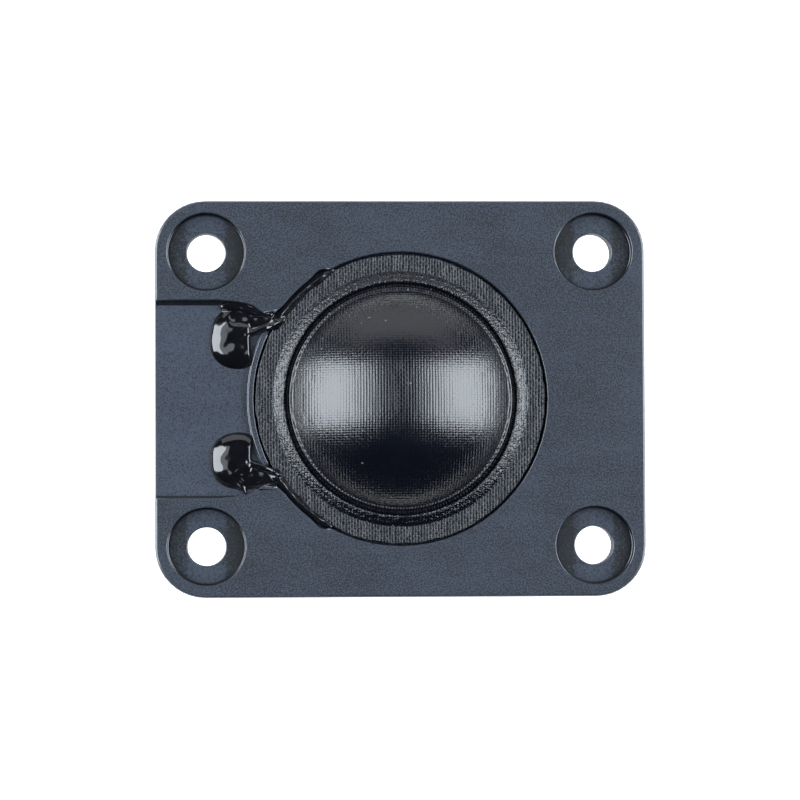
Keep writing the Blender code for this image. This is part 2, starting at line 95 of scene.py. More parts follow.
FRONT = high("faceplate")[2]
CROWN = high("dome")[2]
FLANGE_TOP = high("surround_flange")[2]
FLANGE_R = high("surround_flange")[0]
CUP_R = high("motor_cup")[0]
FORMER_WALL = 0.12 * MM
COIL_R = high("coil_former")[0] - FORMER_WALL    # the dome's edge, inside the coil's tube
CHANNEL_FLOOR = FRONT - 1.0 * MM
SPHERE_R = 16.4 * MM                             # the dome is a cap of a ball of this radius
print("front face", FRONT, "crown", CROWN, "flange radius", FLANGE_R)

# %% [markdown]
# ## Surfaces from arrays
# A new piece is a grid of points: one NumPy array with two directions, u and v. This helper
# turns such a grid into quads, and can close either direction, so a turned part or a tube has
# no seam. Writing the arrays with foreach_set keeps Python out of the per-point work.

# %% grid to mesh


def mesh_from_faces(name, points, quads):
    """A mesh object from an (n, 3) array of points and an (m, 4) array of corner numbers."""
    mesh = bpy.data.meshes.new(name)
    mesh.vertices.add(len(points))
    mesh.vertices.foreach_set("co", np.asarray(points, np.float32).ravel())
    mesh.loops.add(quads.size)
    mesh.loops.foreach_set("vertex_index", quads.astype(np.int32).ravel())
    mesh.polygons.add(len(quads))
    mesh.polygons.foreach_set("loop_start", np.arange(0, quads.size, 4, dtype=np.int32))
    mesh.update(calc_edges=True)
    mesh.polygons.foreach_set("use_smooth", np.ones(len(quads), bool))
    thing = bpy.data.objects.new(name, mesh)
    bpy.context.collection.objects.link(thing)
    return thing


def grid_quads(rows, columns, close_u=False, close_v=False):
    """Corner numbers of every cell of a rows by columns grid, wrapped round where it closes."""
    u = np.arange(rows if close_u else rows - 1)[:, None]
    v = np.arange(columns if close_v else columns - 1)[None, :]
    next_u, next_v = (u + 1) % rows, (v + 1) % columns
    corners = [u * columns + v, next_u * columns + v,
               next_u * columns + next_v, u * columns + next_v]
    return np.stack([c.ravel() for c in np.broadcast_arrays(*corners)], axis=1)


def grid_object(name, points, close_u=False, close_v=False):
    """A surface from an array of shape (u, v, 3); u runs round and v runs outwards."""
    rows, columns = points.shape[:2]
    quads = grid_quads(rows, columns, close_u, close_v)
    return mesh_from_faces(name, points.reshape(-1, 3), quads)


print("a 4 by 3 closed grid has", len(grid_quads(4, 3, close_u=True)), "quads")

# %% [markdown]
# A profile is drawn with only a few points. One helper runs a smooth curve through them, as
# suits pressed cloth. The other keeps straight runs and rounds the corners between them, as a
# press tool leaves steel. A turned part is its profile swept round Z, and welding closes it
# where it meets the axis.

# %% paths and turning


def smooth_path(points, count):
    """A Catmull-Rom curve through the points, as an evenly numbered array of count rows."""
    knots = np.array(points, float)
    padded = np.vstack([2 * knots[0] - knots[1], knots, 2 * knots[-1] - knots[-2]])
    t = np.linspace(0, len(knots) - 1, count)
    i = np.minimum(t.astype(int), len(knots) - 2)
    s = (t - i)[:, None]
    a, b, c, d = (padded[i + k] for k in range(4))
    return 0.5 * (2 * b + (c - a) * s + (2 * a - 5 * b + 4 * c - d) * s**2
                  + (3 * b - a - 3 * c + d) * s**3)


def rounded_path(corners, radius, steps=4):
    """Straight runs between corners, each corner replaced by a short quadratic curve."""
    knots = np.array(corners, float)
    here = knots[1:-1]
    before, after = knots[:-2] - here, knots[2:] - here
    length_in = np.linalg.norm(before, axis=1, keepdims=True)
    length_out = np.linalg.norm(after, axis=1, keepdims=True)
    reach = np.minimum(radius, 0.45 * np.minimum(length_in, length_out))
    start, stop = here + before / length_in * reach, here + after / length_out * reach
    t = np.linspace(0, 1, steps + 1)[None, :, None]
    bends = (start[:, None] * (1 - t)**2 + 2 * here[:, None] * t * (1 - t)
             + stop[:, None] * t**2)
    return np.vstack([knots[:1], bends.reshape(-1, 2), knots[-1:]])


def weld(thing):
    """Merge points that share a place, which closes the poles of a turned part or a tube."""
    shape = bmesh.new()
    shape.from_mesh(thing.data)
    bmesh.ops.remove_doubles(shape, verts=shape.verts, dist=0.0001 * MM)
    bmesh.ops.recalc_face_normals(shape, faces=shape.faces)
    shape.to_mesh(thing.data)
    shape.free()
    return thing


def turned_points(profile, angles):
    """A (radius, height) profile swept round Z: one row of points for each angle."""
    radius, height = np.array(profile).T
    return np.stack([np.cos(angles)[:, None] * radius, np.sin(angles)[:, None] * radius,
                     np.broadcast_to(height, (len(angles), len(height)))], axis=2)


def full_turn(count):
    """Evenly spaced angles that go once round, without repeating the first."""
    return np.linspace(0, 2 * math.pi, count, endpoint=False)


print("a disc of 8 angles and 3 radii:", turned_points([(0, 0), (1, 0), (2, 0)],
                                                       full_turn(8)).shape)

# %% [markdown]
# ## Shader maths in plain Python
# A finish is easier to read as an expression than as a wiring diagram. Signal wraps one node
# socket, and its operators add Math nodes, so 1 - mask and mask * 0.3 simply work.

# %% signals


class Signal:
    """A value that changes over a surface, held as one output socket of a node tree."""

    def __init__(self, tree, socket):
        self.tree = tree
        self.socket = socket

    def maths(self, operation, *values):
        """Add a Math node that works on these values."""
        node = self.tree.nodes.new("ShaderNodeMath")
        node.operation = operation
        for socket, value in zip(node.inputs, values):
            feed(self.tree, value, socket)
        return Signal(self.tree, node.outputs[0])

    def __add__(self, other):
        return self.maths("ADD", self, other)

    def __sub__(self, other):
        return self.maths("SUBTRACT", self, other)

    def __rsub__(self, other):
        return self.maths("SUBTRACT", other, self)

    def __mul__(self, other):
        return self.maths("MULTIPLY", self, other)

    def __pow__(self, other):
        return self.maths("POWER", self, other)

    def __abs__(self):
        return self.maths("ABSOLUTE", self)

    __radd__ = __add__
    __rmul__ = __mul__

    def sine(self):
        return self.maths("SINE", self)

    def step(self, low_edge, high_edge):
        """0 below low_edge, 1 above high_edge, and a smooth rise between them."""
        node = self.tree.nodes.new("ShaderNodeMapRange")
        node.interpolation_type = "SMOOTHSTEP"
        for label, value in (("Value", self), ("From Min", low_edge), ("From Max", high_edge)):
            feed(self.tree, value, node.inputs[label])
        return Signal(self.tree, node.outputs[0])


def feed(tree, value, socket):
    """Link a signal to a socket, or set the socket's own value."""
    if isinstance(value, Signal):
        tree.links.new(value.socket, socket)
    else:
        socket.default_value = value


print("operators:", [name for name in vars(Signal) if name.startswith("__r")])

# %% [markdown]
# Finish is one material. What is the same all over goes on the shader itself, and what changes
# over the surface is wired in. Its node method adds any node from its type, its settings and
# its sockets. Every pattern starts from Object coordinates, which are real lengths here, so a
# noise of 0.3 mm looks 0.3 mm wide on every piece.

# %% finishes


class Finish:
    """One material: constants go on the shader itself, and what varies is wired in."""

    def __init__(self, name, **constants):
        self.material = bpy.data.materials.new(name)
        self.material.use_nodes = True
        self.tree = self.material.node_tree
        self.shader = self.tree.nodes["Principled BSDF"]
        for label, value in constants.items():
            self.shader.inputs[label.replace("_", " ")].default_value = value
        self.place = self.node("ShaderNodeTexCoord", output="Object")
        self.x, self.y, self.z = (self.node("ShaderNodeSeparateXYZ", {}, {0: self.place}, axis)
                                  for axis in "XYZ")

    def node(self, kind, settings=None, sockets=None, output=0):
        """Add a node: its settings first, then the values or links of its input sockets."""
        node = self.tree.nodes.new(kind)
        for label, value in (settings or {}).items():
            setattr(node, label, value)
        for label, value in (sockets or {}).items():
            feed(self.tree, value, node.inputs[label])
        return Signal(self.tree, node.outputs[output])

    def noise(self, size, detail=3.0, roughness=0.55, stretch=(1.0, 1.0, 1.0)):
        """Noise whose features are about size metres across, stretched along the axes."""
        scaled = self.node("ShaderNodeMapping", {}, {"Vector": self.place, "Scale": stretch})
        return self.node("ShaderNodeTexNoise", {},
                         {"Vector": scaled, "Scale": 1.0 / size, "Detail": detail,
                          "Roughness": roughness})

    def blend(self, factor, first, second):
        """A colour between two colours."""
        return self.node("ShaderNodeMix", {"data_type": "RGBA"},
                         {0: factor, 6: first, 7: second}, 2)

    def radius(self):
        """Distance from the dome's axis."""
        return (self.x * self.x + self.y * self.y) ** 0.5

    def wire(self, **signals):
        """Feed the shader's sockets, named with _ for each space."""
        for label, value in signals.items():
            feed(self.tree, value, self.shader.inputs[label.replace("_", " ")])
        return self

    def bump(self, height, depth):
        """Relief: height runs from 0 to 1 and depth is its full height in metres."""
        normal = self.node("ShaderNodeBump", {}, {"Height": height, "Distance": depth})
        return self.wire(Normal=normal)


def colour(red, green, blue):
    """An opaque colour, in linear light."""
    return (red, green, blue, 1.0)


print("a finish has", [name for name in vars(Finish) if not name.startswith("_")])

# %% [markdown]
# Each finished piece gets its material, rides on one body of the frame when one is given, and
# hides the CAD node that it stands for. One helper does all of it, so no piece is forgotten.

# %% dressing a piece


def dress(thing, finish, body=None, replaced=()):
    """Give a piece its finish, put it on its body if one is given, and hide the CAD nodes it
    stands for.
    """
    thing.data.materials.clear()
    thing.data.materials.append(finish.material)
    if body:
        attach(thing, body)
    if replaced:
        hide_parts(*replaced)
    return thing


def describe(thing):
    """Print how big a piece's mesh is, before its modifiers."""
    print(thing.name, "vertices", len(thing.data.vertices), "faces", len(thing.data.polygons))


print("the frame came with", len(bpy.data.materials), "materials")

# %% [markdown]
# ## Camera
# The part is seen from straight above, a little from its lower left, with a long lens, as for
# a catalogue. The lens is worked out from the width that the view should cover, so the camera
# can move without changing the framing.

# %% camera
SENSOR = 36.0
CENTRE = np.array([0.0, 0.0, FRONT])
CAMERA_OFFSET = np.array([-18.7, -15.9, 400.0]) * MM
AIM = CENTRE + np.array([-0.09, -0.17, 0.0]) * MM
VIEW_WIDTH = 91.25 * MM
ROLL = math.radians(0.25)


def aim(thing, place, target, up=(0.0, 1.0, 0.0)):
    """Put a camera or lamp at place, looking at target, with up towards its top edge."""
    back = np.array(place) - np.array(target)
    back = back / np.linalg.norm(back)
    right = np.cross(up, back)
    right = right / np.linalg.norm(right)
    matrix = np.eye(4)
    matrix[:3, 0], matrix[:3, 1], matrix[:3, 2] = right, np.cross(back, right), back
    matrix[:3, 3] = place
    thing.matrix_world = Matrix(matrix)


camera = bpy.data.objects.new("camera", bpy.data.cameras.new("camera"))
bpy.context.collection.objects.link(camera)
camera.data.sensor_width = SENSOR
camera.data.lens = SENSOR * np.linalg.norm(CAMERA_OFFSET) / VIEW_WIDTH
camera.data.clip_start = 0.01
aim(camera, CENTRE + CAMERA_OFFSET, AIM, up=(math.sin(ROLL), 1.0, 0.0))
bpy.context.scene.camera = camera
print("lens", round(camera.data.lens, 1), "mm")

# %% [markdown]
# ## Floor
# The floor is bright white and gives light of its own, so the plate's outline and its four
# holes read clearly against it. It is a plain level grid just under the motor.

# %% floor


def sheet_grid(half, height, count):
    """A level square of points, 2 * half wide."""
    line = np.linspace(-half, half, count)
    x, y = np.meshgrid(line, line, indexing="ij")
    return np.stack([x, y, np.full_like(x, height)], axis=2)


FLOOR_HALF = 3.0
floor_finish = Finish("white_floor", Roughness=0.9, Emission_Strength=1.0)
mottle = floor_finish.noise(40 * MM)
floor_finish.wire(Base_Color=floor_finish.blend(mottle, colour(0.8, 0.8, 0.8),
                                                colour(0.86, 0.86, 0.86)),
                  Emission_Color=floor_finish.blend(mottle, colour(1, 1, 1),
                                                    colour(0.98, 0.98, 0.98)))
floor_grid = sheet_grid(FLOOR_HALF, low("motor_cup")[2] - 0.02 * MM, 9)
floor = dress(grid_object("floor", floor_grid), floor_finish)
describe(floor)

# %% [markdown]
# ## Light
# A black shiny thing is seen by what it mirrors. Two big soft boxes stand left and right and
# draw one soft patch on each side of the dome. Each has a narrow, weaker box higher up, so the
# patches fade towards the crown. A faint one hangs low beyond the plate's top edge.

# %% lights


def softbox(name, across, along, distance, size, radiance, tint=(0.86, 0.93, 1.0)):
    """A rectangular lamp. across and along are its angles from straight above, in degrees."""
    lamp = bpy.data.lights.new(name, "AREA")
    lamp.shape = "RECTANGLE"
    lamp.size, lamp.size_y = size
    lamp.energy = radiance * math.pi * size[0] * size[1]
    lamp.color = tint
    thing = bpy.data.objects.new(name, lamp)
    bpy.context.collection.objects.link(thing)
    slope = np.array([math.tan(math.radians(across)), math.tan(math.radians(along)), 1.0])
    aim(thing, CENTRE + distance * slope / np.linalg.norm(slope), CENTRE)
    return thing


for side in (-1, 1):
    softbox("main_box", side * 56, 8, 0.45, (0.42, 0.40), 6.2)
    softbox("inner_box", side * 23, 8, 0.45, (0.16, 0.40), 1.5)
softbox("top_box", 0, 68, 0.50, (0.80, 0.30), 0.8, (0.94, 0.97, 1.0))
world = bpy.data.worlds.new("room")
world.use_nodes = True
world.node_tree.nodes["Background"].inputs["Color"].default_value = colour(0.008, 0.010, 0.015)
bpy.context.scene.world = world
bpy.context.scene.view_settings.view_transform = "Standard"

# %% [markdown]
# ## The faceplate
# The plate is an injection moulding. Its shape is already right in the CAD model, but a
# moulding has no knife edges: the thin bright lines round the holes and the channel are light
# caught on tiny edge radii. So a copy of the CAD mesh is merged, its flat faces are joined up,
# and a narrow Bevel rounds every edge. Weighted normals keep the big faces flat to the light.

# %% softened copies


def softened_copy(name, node, width, segments=3, angle=30.0):
    """A copy of a CAD node with its facets joined into faces and every sharp edge rounded."""
    shape = bmesh.new()
    shape.from_mesh(frame["nodes"][node].data)
    bmesh.ops.remove_doubles(shape, verts=shape.verts, dist=0.001 * MM)
    bmesh.ops.dissolve_limit(shape, angle_limit=math.radians(1.0), verts=shape.verts,
                             edges=shape.edges)
    bmesh.ops.triangulate(shape, faces=shape.faces)
    mesh = bpy.data.meshes.new(name)
    shape.to_mesh(mesh)
    shape.free()
    mesh.shade_smooth()
    thing = bpy.data.objects.new(name, mesh)
    bpy.context.collection.objects.link(thing)
    bevel = thing.modifiers.new("edges", "BEVEL")
    bevel.width = width
    bevel.segments = segments
    bevel.limit_method = "ANGLE"
    bevel.angle_limit = math.radians(angle)
    bevel.use_clamp_overlap = False
    flatten = thing.modifiers.new("flat faces", "WEIGHTED_NORMAL")
    flatten.weight = 100
    return thing


plate = softened_copy("faceplate_shell", "faceplate", 0.12 * MM)
describe(plate)

# %% [markdown]
# ## Moulded black plastic
# The mould gives the plate a fine matt grain, a little uneven where the plastic flowed, and
# polished edges. Two masks worked out from the place find the screw seats, whose pins left faint
# steps, and the channel's floor. They also paint shade into the colour: painted shade in the
# corner round each seat, painted shading across the seats' floors, and a painted shadow on the
# channel's floor below its walls, where the surface is also made smoother. A third mask reads how
# far the surface leans, to find edges.

# %% plastic finish
SCREW_AT = (22.15 * MM, 16.8 * MM)
SEAT_R = 4.45 * MM


def seat_marks_and_painted_shade(finish):
    """The four screw seats: where they are, their pin steps, which also paint shading, and painted
    shade in the corner round them.
    """
    from_x = abs(finish.x) - SCREW_AT[0]
    from_y = abs(finish.y) - SCREW_AT[1]
    from_axis = (from_x * from_x + from_y * from_y) ** 0.5
    seat = (from_axis.step(SEAT_R + 0.15 * MM, SEAT_R - 0.15 * MM)
            * finish.z.step(FRONT - 0.4 * MM, FRONT - 0.9 * MM))
    # band and slot are the pins' steps in the relief. In the colour they are painted shading:
    # lighter in a column through the hole, darker in a band on its inner side.
    band = abs(from_y).step(2.2 * MM, 2.1 * MM) * from_x.step(0.1 * MM, -0.1 * MM)
    slot = abs(from_x).step(2.6 * MM, 1.9 * MM)
    # Returned: the seat, its pin steps, and painted shade in a ring at the foot of its wall.
    return seat, seat * (slot - band * 0.5), seat * from_axis.step(4.08 * MM, 4.4 * MM)


def edges_of(finish):
    """1 where the surface leans at 45 degrees, as a rounded edge does; and 1 where it is level."""
    normal = finish.node("ShaderNodeNewGeometry", output="Normal")
    upward = finish.node("ShaderNodeSeparateXYZ", {}, {0: normal}, "Z")
    return 4 * upward * upward * (1 - upward * upward), upward.step(0.5, 0.9)


WALL_Y = 11.3 * MM    # half the width of the lead channel
plastic = Finish("moulded_black_plastic", Specular_IOR_Level=0.5, Coat_IOR=1.8,
                 Coat_Roughness=0.12)
patches = plastic.noise(8 * MM)
scuffs = plastic.noise(2.2 * MM, detail=4.0, stretch=(0.35, 1.0, 1.0))
grain = plastic.noise(0.17 * MM, detail=3.0, roughness=0.75)
edge, level = edges_of(plastic)
# corner is painted shade: a dark ring on each seat's floor at the foot of its wall.
seat, marks, corner = seat_marks_and_painted_shade(plastic)
channel = (plastic.z.step(CHANNEL_FLOOR + 0.1 * MM, CHANNEL_FLOOR) * level
           * plastic.radius().step(17 * MM, 17.1 * MM) * (1 - seat))
# Painted shadow: the channel's floor is coloured dark in a band just below its upper wall, and
# more faintly just above its lower wall.
painted_wall_shadow = channel * (plastic.y.step(WALL_Y - 0.62 * MM, WALL_Y - 0.5 * MM)
                       + plastic.y.step(-WALL_Y + 0.35 * MM, -WALL_Y + 0.2 * MM) * 0.6)
shade = corner + painted_wall_shadow
# Colour: grain, flow patches and scuffs; the seat floors a little darker and the channel's floor
# lighter; painted shading from the seats' marks; and painted shade, dark in the seats' corners and
# below the channel's walls.
tone = ((grain - 0.5) * 7 + (patches - 0.5) * 0.6 + (scuffs - 0.5) * 0.7 - seat * 0.45
        + marks * 0.8 + channel * 0.35 - shade * 4 + 0.5)
plastic.wire(
    Base_Color=plastic.blend((tone + edge * 0.5) * (1 - shade), colour(0.000, 0.001, 0.003),
                             colour(0.030, 0.041, 0.064)),
    Roughness=0.52 + patches * 0.10 - edge * 0.30 - shade * 0.36,
    Coat_Weight=edge)
plastic.bump(grain * 0.4 + marks * 0.5, 0.04 * MM)
dress(plate, plastic, "frame", ["faceplate"])
print("plastic nodes:", len(plastic.tree.nodes))

# %% [markdown]
# ## The diaphragm cloth
# Dome, roll and flange are one sheet of coated silk, pressed to shape. The threads stay
# parallel to the plate's sides all over it. Each cell of a plain weave shows either the thread
# that runs along Y or the one that runs along X, and that choice alternates like a
# chessboard. The product of two sine waves has just that sign, so the same short formula
# gives the relief to the mesh and to the finish.

# %% weave formula
WARP = 0.33 * MM    # pitch of the threads that run along Y
WEFT = 0.29 * MM    # pitch of the threads that run along X
THREAD = 0.006 * MM


def weave(x, y):
    """Relief of a plain weave from 0 to 1: mostly the rounded back of the thread on top."""
    across = np.sin(math.pi * x / WARP)
    along = np.sin(math.pi * y / WEFT)
    over = 0.55 + 0.4 * np.clip(0.5 + 1.5 * across * along, 0, 1)
    return over * np.abs(across) + (1 - over) * np.abs(along)


def weave_signal(finish, wander):
    """The same relief as shader maths; wander shifts the threads a little, in metres."""
    across = ((finish.x + wander) * (math.pi / WARP)).sine()
    along = ((finish.y + wander) * (math.pi / WEFT)).sine()
    over = (across * along * 1.5 + 0.5).step(0.0, 1.0) * 0.4 + 0.55
    return over * abs(across) + (1 - over) * abs(along)


def ripple(x, y, size):
    """Slow pseudo-random waves from -1 to 1, about size long, from four crossed sines."""
    k = 2 * math.pi / size
    return (np.sin(k * (x + 0.31 * y) + 1.3) + np.sin(k * 0.83 * (y - 0.42 * x) + 4.1)
            + np.sin(k * 1.37 * (0.7 * x + 0.71 * y) + 2.2)
            + np.sin(k * 1.71 * (0.64 * x - 0.77 * y) + 0.4)) / 4


print("mean relief", round(float(weave(*np.random.default_rng(1).random((2, 1000)))
                                 .mean()), 3))

# %% [markdown]
# ## The dome's shape
# A round cap needs cells of even size for the weave, which rings round a pole don't give. So
# a square grid is pulled into a disc: each point (s, t) goes to s * sqrt(1 - t * t / 2) and
# t * sqrt(1 - s * s / 2). The rim is a turned profile: a narrow ledge, the groove where the
# coil is glued, and the inner half of the roll.

# %% cap and rim
CAP_CELLS = 240
RIM_ROWS = 23
CLOTH = 0.10 * MM
CREST_R = 13.50 * MM
CREST_Z = FRONT + 0.15 * MM


def cap_height(radius):
    """Height of the sphere of radius SPHERE_R whose top is the dome's crown."""
    return CROWN - SPHERE_R + np.sqrt(SPHERE_R**2 - radius**2)


def disc_grid(radius, count):
    """A count by count grid of (x, y) that fills a disc."""
    line = np.linspace(-1, 1, count)
    s, t = np.meshgrid(line, line, indexing="ij")
    return radius * s * np.sqrt(1 - t * t / 2), radius * t * np.sqrt(1 - s * s / 2)


def edge_walk(count):
    """Grid numbers of the square's border, anticlockwise from one corner."""
    number = np.arange(count * count).reshape(count, count)
    return np.concatenate([number[:-1, 0], number[-1, :-1], number[:0:-1, -1], number[0, :0:-1]])


def edged(profile):
    """The profile with a point added 0.01 mm inside each end, so its shading stays flat there."""
    def nudge(end, neighbour):
        return end + (neighbour - end) * (0.01 * MM / np.linalg.norm(neighbour - end))
    return np.vstack([profile[:1], nudge(profile[0], profile[1])[None], profile[1:-1],
                      nudge(profile[-1], profile[-2])[None], profile[-1:]])


def rim_profile():
    """From the cap's edge outwards: crease, ledge, skirt, groove and up to the roll's crest."""
    steps = [(COIL_R, cap_height(COIL_R)), (12.44 * MM, FRONT + 0.36 * MM),
             (12.60 * MM, FRONT + 0.40 * MM), (12.74 * MM, FRONT + 0.29 * MM),
             (12.82 * MM, FRONT - 0.14 * MM), (12.90 * MM, FRONT - 0.50 * MM),
             (13.02 * MM, FRONT - 0.46 * MM), (13.14 * MM, FRONT - 0.16 * MM),
             (13.28 * MM, FRONT + 0.08 * MM), (CREST_R, CREST_Z)]
    return smooth_path(steps, RIM_ROWS)


def underside():
    """The cloth's lower face, from the crest in to the axis: the upper face moved down."""
    rim = rim_profile()[::-3]
    radius = COIL_R * np.linspace(1, 0, 8)
    cap = np.stack([radius, cap_height(radius)], axis=1)
    return np.vstack([rim, cap]) - [0, CLOTH]


print("rim rows:", len(rim_profile()), "lower rows:", len(underside()))

# %% [markdown]
# The rim's rings start from the disc's own edge points, so cap and rim share one line of
# points and no seam shows. The cloth is 0.1 mm thick: the rings turn under at the crest and run
# back to the axis as a lower face, which closes the sheet.

# %% dome mesh


def dome_mesh():
    """The cap's grid, the rim's rings round its edge, and the lower face that closes it."""
    x, y = disc_grid(COIL_R, CAP_CELLS)
    z = cap_height(np.hypot(x, y))
    cap = np.stack([x, y, z], axis=2).reshape(-1, 3)
    normal = (cap - [0, 0, CROWN - SPHERE_R]) / SPHERE_R
    cap = cap + normal * (THREAD * (weave(cap[:, 0], cap[:, 1]) - 0.5))[:, None]
    border = edge_walk(CAP_CELLS)
    angles = np.arctan2(cap[border, 1], cap[border, 0])
    rim = turned_points(edged(rim_profile())[2:], angles)
    rim[..., 2] += THREAD * (weave(rim[..., 0], rim[..., 1]) - 0.5)
    rim = np.concatenate([rim, turned_points(underside(), angles)], axis=1)
    numbers = np.hstack([border[:, None],
                         len(cap) + np.arange(rim.shape[0] * rim.shape[1])
                         .reshape(rim.shape[:2])])
    after = np.roll(numbers, -1, axis=0)
    around = np.stack([numbers[:, :-1], numbers[:, 1:], after[:, 1:], after[:, :-1]], axis=2)
    quads = np.vstack([grid_quads(CAP_CELLS, CAP_CELLS), around.reshape(-1, 4)])
    cloth = mesh_from_faces("dome_cloth", np.vstack([cap, rim.reshape(-1, 3)]), quads)
    return weld(cloth), angles


dome, rim_angles = dome_mesh()
describe(dome)

# %% [markdown]
# ## Coated silk
# The coating fills the cloth and dries to a smooth, nearly black skin, so the dome mirrors the
# boxes and the threads only ripple what it mirrors. That is why the base is so dark and the
# relief so low. Slubs make some threads stand prouder, the bent roll crinkles, and a few specks
# of dust lie on top.

# %% coated cloth finish


def dust(finish, size, amount):
    """Specks: 1 in a small round dot in some cells of a Voronoi pattern, 0 elsewhere."""
    sockets = {"Vector": finish.place, "Scale": 1.0 / size}
    gap = finish.node("ShaderNodeTexVoronoi", {}, sockets, "Distance")
    lot = finish.node("ShaderNodeTexVoronoi", {}, sockets, "Color")
    chosen = finish.node("ShaderNodeSeparateXYZ", {}, {0: lot}).step(1 - amount, 1.001 - amount)
    return gap.step(0.16, 0.08) * chosen


coated = Finish("coated_silk", Specular_IOR_Level=1.0)
threads = weave_signal(coated, coated.noise(6 * MM) * (0.08 * MM))
slubs = coated.noise(0.33 * MM, detail=1.0, stretch=(1.0, 0.06, 1.0))
picks = coated.noise(0.29 * MM, detail=1.0, stretch=(0.06, 1.0, 1.0))
smudge = coated.noise(4 * MM)
fuzz = coated.noise(0.12 * MM, detail=2.0)
specks = dust(coated, 0.9 * MM, 0.12)
on_roll = coated.radius().step(13.0 * MM, 13.5 * MM)
crinkle = coated.noise(0.36 * MM, detail=3.0)
coated.wire(
    Base_Color=coated.blend(smudge * 0.03 + specks, colour(0.0006, 0.0011, 0.0042),
                            colour(0.10, 0.10, 0.11)),
    Roughness=0.18 - threads * 0.04 + smudge * 0.05 + specks * 0.4)
coated.bump(threads ** 0.6 * (0.30 + slubs * 0.9 + on_roll * 0.6) + fuzz * 0.15
            + picks * 0.25 + on_roll * crinkle * 5, 0.030 * MM)
dress(dome, coated, "diaphragm", ["dome"])
print("cloth nodes:", len(coated.tree.nodes))

# %% [markdown]
# ## The roll
# The outer half of the roll bends as the dome travels. It is a turned profile with the weave laid
# over it, and it uses the dome's own edge points, so the two meet without a gap. It is put on no
# body of the frame.

# %% roll
FOOT_R = 14.60 * MM


def woven_ring(name, profile, relief):
    """A turned band of cloth, lifted by the weave and by slow ripples of the coating."""
    points = turned_points(edged(profile), rim_angles)
    x, y = points[..., 0], points[..., 1]
    points[..., 2] += relief * (weave(x, y) - 0.5) + 0.02 * MM * ripple(x, y, 2.1 * MM)
    at_edge = np.clip((np.hypot(x, y) - FLANGE_R) / (0.2 * MM), 0, 1)[..., None]
    points[..., :2] *= 1 + 0.006 * at_edge * ripple(x, y, 3.3 * MM)[..., None]
    loop = np.concatenate([points, points[:, ::-2] - [0, 0, CLOTH]], axis=1)
    return grid_object(name, loop[:, ::-1], close_u=True, close_v=True)


roll_profile = smooth_path([(CREST_R, CREST_Z), (13.72 * MM, FRONT + 0.06 * MM),
                            (14.00 * MM, FRONT - 0.11 * MM), (14.20 * MM, FRONT - 0.20 * MM),
                            (14.45 * MM, FRONT - 0.40 * MM), (FOOT_R, FLANGE_TOP)], 17)
roll = woven_ring("surround_roll", roll_profile, THREAD)
dress(roll, coated, None, ["surround"])
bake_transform(roll)
describe(roll)

# %% [markdown]
# ## The flange
# The flange is the same cloth glued flat on its ring, where the coating soaked in and dried
# lumpy, and its cut edge wanders a little. It gets a duller, rougher finish of its own, with
# deeper threads and some fluff.

# %% flange
EDGE_R = FLANGE_R + 0.22 * MM
flange_profile = np.vstack([smooth_path([(FOOT_R, FLANGE_TOP), (15.4 * MM, FLANGE_TOP),
                                         (EDGE_R, FLANGE_TOP - 0.02 * MM)], 20),
                            [(EDGE_R + 0.05 * MM, FLANGE_TOP - 0.08 * MM),
                             (EDGE_R + 0.03 * MM, FLANGE_TOP - 0.30 * MM)]])
dull = Finish("flange_silk", Specular_IOR_Level=0.6)
knots = weave_signal(dull, dull.noise(3 * MM) * (0.25 * MM))
lumps = dull.noise(0.40 * MM, detail=3.0)
ribs = dull.noise(0.33 * MM, detail=1.0, stretch=(1.0, 0.12, 1.0))
fluff = dust(dull, 0.6 * MM, 0.15)
dull.wire(
    Base_Color=dull.blend(lumps.step(0.45, 0.72) * 0.4 + fluff, colour(0.003, 0.004, 0.007),
                          colour(0.040, 0.046, 0.060)),
    Roughness=0.17 + lumps * 0.15)
dull.bump(knots * (0.2 + ribs * 0.5) + lumps * 0.9, 0.075 * MM)
flange = woven_ring("flange_cloth", flange_profile, 1.6 * THREAD)
dress(flange, dull, "frame", ["surround_flange"])
describe(flange)

# %% [markdown]
# ## The glue's fields
# Black glue was run over each soldered lead and pulled along the ring. It could be sculpted,
# but a drop is easier to describe as a field that is 1 in its middle and 0 at its edge. An
# oval makes the bead, and strands make the wire's ridge and the arm along the ring. Their
# smooth maximum melts them together, as the wet glue did: the larger MELT is, the sharper the
# creases between them.

# %% glue fields
MELT = 9.0


def oval(x, y, centre, half, turn, brink):
    """1 at the centre of an oval, 0 on its edge; past x = brink it falls away steeply."""
    c, s = math.cos(math.radians(turn)), math.sin(math.radians(turn))
    u, v = x - centre[0] * MM, y - centre[1] * MM
    field = 1 - (abs((c * u + s * v) / (half[0] * MM))**2.2
                 + abs((c * v - s * u) / (half[1] * MM))**2.2)**0.91
    return np.minimum(field, (brink * MM - x) / (0.45 * MM))


def strand(x, y, route):
    """1 along a line of (x, y, half width) points in millimetres, 0 at its edge."""
    best = np.full(np.shape(x), -9.0)
    knots = np.array(route, float) * MM
    for a, b in zip(knots[:-1], knots[1:]):
        along = b[:2] - a[:2]
        t = np.clip(((x - a[0]) * along[0] + (y - a[1]) * along[1]) / (along @ along), 0, 1)
        gap = np.hypot(x - a[0] - t * along[0], y - a[1] - t * along[1])
        best = np.maximum(best, 1 - (gap / (a[2] + t * (b[2] - a[2])))**2)
    return best


def ring_route(start, stop, radius, widths):
    """Points along the ring's edge between two angles, with a half width at each."""
    angles = np.radians(np.linspace(start, stop, len(widths)))
    return [(radius * math.cos(a), radius * math.sin(a), w) for a, w in zip(angles, widths)]


